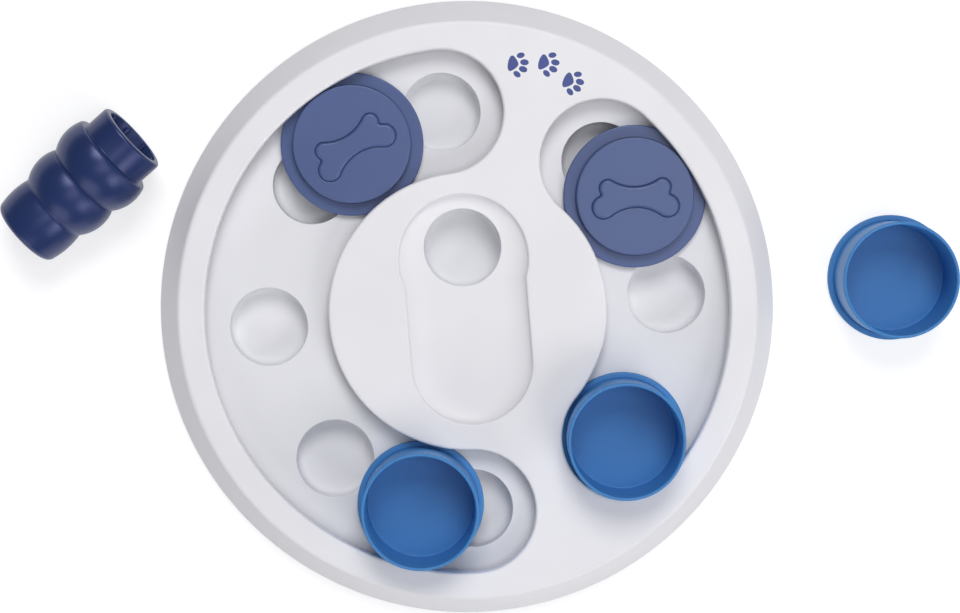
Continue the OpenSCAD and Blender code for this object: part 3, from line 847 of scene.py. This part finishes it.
class TREATBOARD_OT_top_cover(bpy.types.Operator):
    """Makes the white top cover, with its channels, its trough and the paw prints on it"""
    bl_idname = "treat_board.top_cover"
    bl_label = "Top cover"

    def execute(self, context):
        board, trough = sizes("board"), sizes("trough")
        top = board.height
        under = top - board.wall
        skin = Skin()

        # Skirt, from the top's edge over the shoulder to the foot and up inside
        tall = top - board.skirt_gap
        slope = board.skirt_run / tall
        lean = degrees(atan(slope))
        cut = board.shoulder * tan(radians(90 - lean) / 2)
        edge = board.radius - board.skirt_run - cut
        thick = board.wall * hypot(1, slope)
        foot, blunt = board.skirt_gap, 0.35 * MM
        profile = [(edge - FLAT_BAND, top)]
        profile += arc(edge, top - board.shoulder, board.shoulder, 90, lean, 8)
        profile += [(board.radius - blunt * slope, foot + blunt), (board.radius - blunt, foot)]
        inner = board.radius - thick
        profile += [(inner + blunt, foot), (inner - blunt * slope, foot + blunt)]
        profile += [(inner - (under - foot) * slope, under)]
        top_rim, under_rim = skin.sweep(circle(0, 0, 0, WIDE_CIRCLE), profile)

        # Channels: a rounded lip, and a wall that turns down to hold the sliders
        track, *channels = channel_layout()
        lip, low, small = board.lip, board.lip_height, 0.3 * MM
        profile = [(lip + FLAT_BAND, top)] + arc(lip, top - lip, lip, 90, 180, 7)
        profile += arc(small, low + small, small, 180, 270, 3)
        profile += arc(board.lip_wall - small, low + small, small, 270, 360, 3)
        profile += [(board.lip_wall, under)]
        ends = [skin.sweep(channel_outline(track, *channel, board.channel / 2), profile)
                for channel in channels]
        top_holes, under_holes = [list(part) for part in zip(*ends)]

        # Trough: a crisp lip and a wide soft sweep down to its floor, narrower beside the hole
        outline, hole_y = trough_outline()
        room = np.hypot(*(outline(0) - [0, hole_y]).T) - trough.hole - trough.hole_border
        spare = trough.sweep - room
        width = (trough.sweep + room - np.sqrt(spare * spare + MM * MM)) / 2
        floor = top - trough.depth
        lip, steps, dip = trough.lip, 14, 0.4 * MM
        rise = trough.depth - lip - dip
        profile = [(-lip - FLAT_BAND, top)] + arc(-lip, top - lip, lip, 90, 0, 5)
        profile += [(width * (1 + cos(turn)), floor + rise * (1 + sin(turn)))
                    for turn in np.linspace(pi, 1.5 * pi, steps)]
        profile += [(width + FLAT_BAND, floor)]
        trough_top, trough_floor = skin.sweep(outline, profile)
        dish_sweep, dish_dip = 4.6 * MM, 0.3 * MM
        reach = trough.depth - board.wall - dish_dip
        profile = [(-board.wall, under)]
        profile += [(-board.wall + dish_sweep * (1 + cos(turn)),
                     floor - board.wall + (reach + board.wall) * (1 + sin(turn)))
                    for turn in np.linspace(pi, 1.5 * pi, 8)]
        dish_top, dish_floor = skin.sweep(outline, profile)

        # Hole over the centre well, with the collar that stands on the tray
        crisp = 0.35 * MM
        seat = floor_height()
        profile = [(crisp + FLAT_BAND, floor)] + arc(crisp, floor - crisp, crisp, 90, 180, 4)
        profile += [(0, seat), (board.wall, seat), (board.wall, floor - board.wall)]
        hole_top, hole_under = skin.sweep(circle(0, hole_y, trough.hole, SMALL_CIRCLE), profile)

        skin.fill(top_rim, [*top_holes, trough_top], print_loops())
        skin.fill(trough_floor, [hole_top])
        skin.fill(under_rim, [*under_holes, dish_top])
        skin.fill(dish_floor, [hole_under])
        place_piece("cover_moulding", skin_mesh(skin), [cover_finish(), ink_finish()], "board",
                    ["top_cover"])
        self.add_bosses(board)
        return {"FINISHED"}

    def add_bosses(self, board):
        """Posts under the cover that the screws cut their thread into."""
        fixing = sizes("fixing")
        finish = bpy.data.materials["White polypropylene, silk moulded"]
        # The thread bites into the pilot hole, which is deeper than the screw and stays closed on top
        bite, spare, cap, sunk = 0.2 * MM, 0.8 * MM, 0.5 * MM, 0.3 * MM
        seat, pilot = floor_height(), fixing.screw - bite
        depth = fixing.seat + fixing.screw_length + spare
        posts = []
        island_top = board.height - board.wall + sunk
        for places, post_top in ((rim_points(), RIM_POST_TOP), (island_points(), island_top)):
            depth = min(depth, post_top - cap)
            profile = [(0, depth), (pilot, depth), (pilot, seat), (fixing.boss, seat)]
            profile += [(fixing.boss, post_top), (0, post_top)]
            posts.append(copies(places, lathe(profile, finish, POST_CIRCLE), finish))
        mesh = close_up(merged("posts", posts, finish))
        place_piece("cover_posts", mesh, [finish], "board", [])


def floor_height():
    """Height of the tray's upper face."""
    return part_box("base_tray")[1].z


def rim_points():
    fixing = sizes("fixing")
    return on_circle(fixing.rim_circle, even_turns(fixing.rim_screws))


def island_points():
    fixing = sizes("fixing")
    spread = fixing.island_spread
    return on_circle(fixing.island_circle, [spread, pi - spread, pi + spread, -spread])


def print_loops():
    """Three paw prints that follow the rim."""
    spec = sizes("print")
    # The outer two stand this much closer to the channel
    stagger = 4 * MM
    loops = []
    for k in (-1, 0, 1):
        turn = spec.middle + k * spec.step
        radius = spec.radius - abs(k) * stagger
        loops += paw_loops(radius * cos(turn), radius * sin(turn), turn - pi, spec.size)
    return loops


class TREATBOARD_OT_base_tray(bpy.types.Operator):
    """Makes the white tray with its wells, walls and ribs"""
    bl_idname = "treat_board.base_tray"
    bl_label = "Base tray"

    def execute(self, context):
        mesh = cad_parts["base_tray"].data.copy()
        if "custom_normal" in mesh.attributes:
            mesh.attributes.remove(mesh.attributes["custom_normal"])
        close_up(mesh, turn_faces=False)
        piece = place_piece("tray_moulding", mesh, [tray_finish()], "board", ["base_tray"])
        # Large flat faces keep their own shading beside the small roundings
        normals = piece.modifiers.new("flat faces first", "WEIGHTED_NORMAL")
        normals.keep_sharp = True
        normals.weight = 100
        return {"FINISHED"}


class TREATBOARD_OT_anti_slip_ring(bpy.types.Operator):
    """Makes the rubber ring that the board stands on"""
    bl_idname = "treat_board.anti_slip_ring"
    bl_label = "Anti-slip ring"

    def execute(self, context):
        fixing = sizes("fixing")
        inner, wide, tall = fixing.ring_inside, fixing.ring_width, fixing.ring_height
        edge, groove = 0.5 * MM, 0.35 * MM
        profile = arc(inner + edge, tall - edge, edge, 180, 90, 4)
        profile += arc(inner + wide - edge, tall - edge, edge, 90, 0, 4)
        profile += arc(inner + wide - edge, edge, edge, 0, -90, 4)
        # Two shallow grooves in the sole grip a wet floor, each at its share of the width
        outer_groove, inner_groove = 0.66, 0.34
        for share in (outer_groove, inner_groove):
            middle = inner + wide * share
            profile += [(middle + 2 * groove, 0), (middle + groove, groove * 1.5)]
            profile += [(middle - groove, groove * 1.5), (middle - 2 * groove, 0)]
        profile += arc(inner + edge, edge, edge, 270, 180, 4)
        profile.append(profile[0])
        finish = rubber_finish()
        mesh = lathe(profile, finish, WIDE_CIRCLE)
        place_piece("ring_moulding", mesh, [finish], "board", ["anti_slip_ring"])
        return {"FINISHED"}


class TREATBOARD_OT_screws(bpy.types.Operator):
    """Makes the twelve self-tapping screws that hold the tray to the cover"""
    bl_idname = "treat_board.screws"
    bl_label = "Screws"

    def execute(self, context):
        fixing = sizes("fixing")
        finish = zinc_finish()
        seat, head, thick = fixing.seat, fixing.head, fixing.head_height
        core, ridge, pitch = fixing.screw - 0.4 * MM, 0.38 * MM, 1.35 * MM
        end = seat + fixing.screw_length
        tip, blunt, dome = 1.6 * MM, 0.5 * MM, 0.9 * MM
        profile = [(0, seat - thick)] + arc(head - dome, seat - thick + dome, dome, -90, 0, 5)
        profile += [(head, seat), (core, seat), (core, end - tip), (blunt, end), (0, end)]
        shank = lathe(profile, finish, SCREW_CIRCLE)
        shank = self.cut_cross(shank, seat - thick)
        threaded = fixing.screw_length - tip - pitch
        shank.transform(Matrix.Translation((0, 0, -seat - pitch / 2)))
        screw = grow("thread", shank, Turns=threaded / pitch, Core_radius=core + 0.02 * MM,
                     Length=threaded, Ridge=ridge, Finish=finish)
        screw.transform(Matrix.Translation((0, 0, seat + pitch / 2)))
        mesh = copies(rim_points() + island_points(), screw, finish)
        names = [f"rim_screw_{k + 1}" for k in range(fixing.rim_screws)]
        names += [f"island_screw_{k + 1}" for k in range(len(island_points()))]
        place_piece("screw_set", mesh, [finish], "board", names)
        return {"FINISHED"}

    def cut_cross(self, mesh, bottom):
        """Cuts the cross recess into a head whose face is at the given height."""
        long, wide, deep = 3.4 * MM, 0.9 * MM, 1.2 * MM
        # How much narrower the recess is at its bottom, along and across
        narrow_long, narrow_wide = 0.7, 0.8
        work = bmesh.new()
        # A tapered cross of twelve corners, as a driver's tip
        half, arm = long / 2, wide / 2
        corners = [(half, -arm), (half, arm), (arm, arm), (arm, half), (-arm, half), (-arm, arm),
                   (-half, arm), (-half, -arm), (-arm, -arm), (-arm, -half), (arm, -half), (arm, -arm)]
        low = [work.verts.new((x, y, bottom - deep / 2)) for x, y in corners]
        high = [work.verts.new((x * narrow_long, y * narrow_wide, bottom + deep)) for x, y in corners]
        work.faces.new(low)
        work.faces.new(high)
        for k in range(len(corners)):
            j = (k + 1) % len(corners)
            work.faces.new((low[k], low[j], high[j], high[k]))
        bmesh.ops.recalc_face_normals(work, faces=work.faces)
        head, tool = link("head", mesh), link("cross", as_mesh(work, "cross"))
        cut = head.modifiers.new("cross", "BOOLEAN")
        cut.object = tool
        cut.solver = "EXACT"
        result = evaluated(head)
        for thing in (head, tool):
            bpy.data.objects.remove(thing)
        return result


class TREATBOARD_OT_sliders(bpy.types.Operator):
    """Makes the two lidded sliders with a bone in relief"""
    bl_idname = "treat_board.sliders"
    bl_label = "Sliders"

    def execute(self, context):
        slider = sizes("slider")
        finish = slider_finish()
        for node, body, heading in (("long_track_slider", "long_slider", slider.long_turn),
                                    ("short_track_slider", "short_slider", slider.short_turn)):
            mesh = skin_mesh(self.skin(slider))
            mesh.transform(seat_of(node) @ Matrix.Rotation(heading, 4, "Z"))
            place_piece(node + "_moulding", mesh, [finish], body, [node])
        return {"FINISHED"}

    def skin(self, slider):
        skin = Skin()
        disc, flange, edge = slider.disc, slider.flange, slider.edge
        top, step = slider.height, slider.flange_height
        inner, roof = disc - slider.wall, top - slider.wall
        small, groove, flare = 0.3 * MM, 0.35 * MM, 0.1 * MM
        # From the disc's top over its edge, into a fine groove at its foot, and round the flange
        profile = [(disc - edge - FLAT_BAND, top)] + arc(disc - edge, top - edge, edge, 90, 0, 6)
        profile += [(disc, step - groove), (disc + groove, step - groove), (disc + groove + flare, step)]
        profile += [(flange - edge - FLAT_BAND, step)] + arc(flange - edge, step - edge, edge, 90, 0, 5)
        profile += arc(flange - small, small, small, 0, -90, 2)
        profile += arc(inner + small, small, small, 270, 180, 2)
        profile += arc(inner - small, roof - small, small, 0, 90, 3)
        rim, roof_rim = skin.sweep(circle(0, 0, 0, PIECE_CIRCLE), profile)
        skin.fill(roof_rim)
        # The bone stands in a soft groove, and its own edge is rounded
        deep, bone, wide = slider.groove, slider.bone, slider.groove_width
        soft, bottom = 1.2 * MM, 0.15 * MM
        outline = bone_outline()
        profile = [(wide + FLAT_BAND, top)]
        profile += arc(wide, top - deep, deep, 90, 180, 5, (wide - bottom) / deep)
        profile += arc(-soft, top + bone - soft, soft, 0, 90, 6)
        profile += [(-soft - FLAT_BAND, top + bone)]
        outer, inner_rim = skin.sweep(outline, profile)
        skin.fill(rim, [outer])
        skin.fill(inner_rim)
        return skin


class TREATBOARD_OT_cups(bpy.types.Operator):
    """Makes the three open cups"""
    bl_idname = "treat_board.cups"
    bl_label = "Cups"

    def execute(self, context):
        cup = sizes("cup")
        finish = cup_finish()
        for node, body in (("long_track_cup", "long_cup"), ("short_track_cup", "short_cup"),
                           ("loose_cup", "free_cup")):
            mesh = lathe(self.profile(cup), finish, CUP_CIRCLE, seat_of(node))
            place_piece(node + "_moulding", mesh, [finish], body, [node])
        return {"FINISHED"}

    def profile(self, cup):
        rim, top, wall, step = cup.rim, cup.height, cup.wall, cup.flange_height
        small, groove = 0.35 * MM, 0.3 * MM
        recess, recess_end, sole, edge = 0.4 * MM, 4 * MM, 3.6 * MM, 0.7 * MM
        foot = rim - cup.draft
        inside_foot = foot - wall
        # From the foot's middle, under a shallow recess, round the flange and up to the rim
        profile = [(0, recess), (foot - recess_end, recess), (foot - sole, 0)]
        profile += arc(cup.flange - small, small, small, -90, 0, 3)
        profile += arc(cup.flange - edge, step - edge, edge, 0, 90, 5)
        profile += [(foot + 2 * groove, step), (foot + groove, step - groove)]
        profile += [(foot, step - groove), (foot, step + groove)]
        profile += arc(rim - wall / 2, top - wall / 2, wall / 2, 0, 180, 10)
        corner = cup.corner
        profile += arc(inside_foot - corner, cup.floor + corner, corner, 0, -90, 6)
        # A faint round gate mark in the floor's middle, its edges soft
        mark, shallow, soft = 3.1 * MM, 0.05 * MM, 0.6 * MM
        sunk = cup.floor - shallow
        profile += [(inside_foot - corner - FLAT_BAND, cup.floor), (mark + soft + FLAT_BAND, cup.floor)]
        profile += [(mark + soft, cup.floor), (mark, sunk), (mark - FLAT_BAND, sunk)]
        return profile + [(0, sunk)]


class TREATBOARD_OT_roller(bpy.types.Operator):
    """Makes the hollow roller with its bulbs and the ribs inside"""
    bl_idname = "treat_board.roller"
    bl_label = "Roller"

    def execute(self, context):
        roller = sizes("roller")
        finish = roller_finish()
        rise = (roller.wide_bulb - roller.bulb) / (ROLLER_AT["wide"] - ROLLER_AT["bulb"])
        tilt = atan(rise)
        middle = roller.length / 2
        height = (roller.bulb - BULB_ARC) * cos(tilt) + BULB_ARC + (middle - ROLLER_AT["bulb"]) * sin(tilt)
        away, bearing = roller.distance, roller.direction
        place = (
            Matrix.Translation((away * cos(bearing), away * sin(bearing), height))
            @ Matrix.Rotation(roller.heading, 4, "Z")
            @ Matrix.Rotation(pi / 2 - tilt, 4, "Y")
            @ Matrix.Translation((0, 0, -middle))
        )
        body = lathe(self.profile(roller), finish, PIECE_CIRCLE)
        # The copied ribs need points a little off the axis, which tell them where to face
        reach = 1 * MM
        ribs = copies(on_circle(reach, even_turns(roller.ribs)), self.rib(roller, reach), finish)
        mesh = merged("roller", [body, ribs], finish)
        mesh.transform(place)
        place_piece("roller_moulding", mesh, [finish], "roller", ["treat_roller"])
        return {"FINISHED"}

    def profile(self, roller):
        def bulge(radius, at, arc_radius, start, end, steps=22):
            places = np.linspace(start, end, steps)
            return [(radius - arc_radius + sqrt(arc_radius ** 2 - (z - at) ** 2), z) for z in places]

        edge, valley = 3.6 * MM, 0.45 * MM
        at = ROLLER_AT
        shoulder, round_shoulder = radians(20.6), 2 * MM
        off = BULB_ARC - round_shoulder
        shoulder_at = at["wide"] + off * sin(shoulder)
        shoulder_out = roller.wide_bulb - BULB_ARC + off * cos(shoulder)
        barrel = bulge(roller.barrel, at["barrel"], BARREL_ARC, edge, at["neck"] - valley)
        profile = [(0, 0)] + arc(barrel[0][0] - edge, edge, edge, -90, 0, 8)[:-1] + barrel
        profile += bulge(roller.bulb, at["bulb"], BULB_ARC, at["neck"] + valley, at["low_neck"] - valley)
        profile += bulge(roller.wide_bulb, at["wide"], BULB_ARC, at["low_neck"] + valley,
                         at["wide"] + BULB_ARC * sin(shoulder))[:-1]
        profile += arc(shoulder_out, shoulder_at, round_shoulder, degrees(shoulder), 90, 6)
        step, collar_edge, mouth_edge = 0.5 * MM, 1.6 * MM, 0.4 * MM
        profile += arc(roller.collar + step, shoulder_at + round_shoulder + step, step, 270, 180, 3)
        profile += arc(roller.collar - collar_edge, roller.length - collar_edge, collar_edge, 0, 90, 7)
        profile += arc(roller.bore + mouth_edge, roller.length - mouth_edge, mouth_edge, 90, 180, 3)
        corner = 1 * MM
        profile += arc(roller.bore - corner, roller.end + corner, corner, 0, -90, 4)
        return profile + [(0, roller.end)]

    def rib(self, roller, reach):
        """One rib along X = bore, drawn inwards from the point that it is copied to."""
        # It sinks into the wall and the closed end, and stops short of the mouth
        edge, sunk, short = 0.25 * MM, 0.5 * MM, 1.2 * MM
        work = bmesh.new()
        bmesh.ops.create_cube(work, size=1)
        inner, outer = roller.bore - roller.rib_height, roller.bore + sunk
        low, high = roller.end - sunk, roller.length - short
        for vert in work.verts:
            x, y, z = vert.co
            vert.co = ((inner + outer) / 2 + x * (outer - inner) - reach, y * roller.rib_width,
                       (low + high) / 2 + z * (high - low))
        bmesh.ops.bevel(work, geom=work.edges[:], offset=edge, segments=2, affect="EDGES", profile=0.5)
        return as_mesh(work, "rib")


# Places along the roller's axis from its closed end, and the radii of its bellies
ROLLER_AT = {"barrel": 11.3 * MM, "neck": 19.8 * MM, "bulb": 31.2 * MM, "low_neck": 38.9 * MM,
             "wide": 50.6 * MM}
BARREL_ARC = 37.6 * MM
BULB_ARC = 19.1 * MM


class TREATBOARD_PT_panel(bpy.types.Panel):
    """Lists the board's sizes and its operators"""
    bl_idname = "TREATBOARD_PT_panel"
    bl_label = "Treat board"
    bl_space_type = "VIEW_3D"
    bl_region_type = "UI"
    bl_category = "Treat board"

    def draw(self, context):
        for operator in OPERATORS:
            self.layout.operator(operator.bl_idname)
        for name, group in GROUPS.items():
            box = self.layout.box()
            box.label(text=name.capitalize())
            for label in group.__annotations__:
                box.prop(sizes(name), label)


OPERATORS = [
    TREATBOARD_OT_stage, TREATBOARD_OT_top_cover, TREATBOARD_OT_base_tray, TREATBOARD_OT_anti_slip_ring,
    TREATBOARD_OT_screws, TREATBOARD_OT_sliders, TREATBOARD_OT_cups, TREATBOARD_OT_roller,
]


def register():
    for item in [*GROUPS.values(), *OPERATORS, TREATBOARD_PT_panel]:
        bpy.utils.register_class(item)
    for name, group in GROUPS.items():
        setattr(bpy.types.Scene, "treat_board_" + name, PointerProperty(type=group))


def unregister():
    for name in GROUPS:
        delattr(bpy.types.Scene, "treat_board_" + name)
    for item in [TREATBOARD_PT_panel, *reversed(OPERATORS), *reversed(GROUPS.values())]:
        bpy.utils.unregister_class(item)


def main():
    register()
    for operator in OPERATORS:
        family, name = operator.bl_idname.split(".")
        getattr(getattr(bpy.ops, family), name)()


if __name__ == "__main__":
    main()
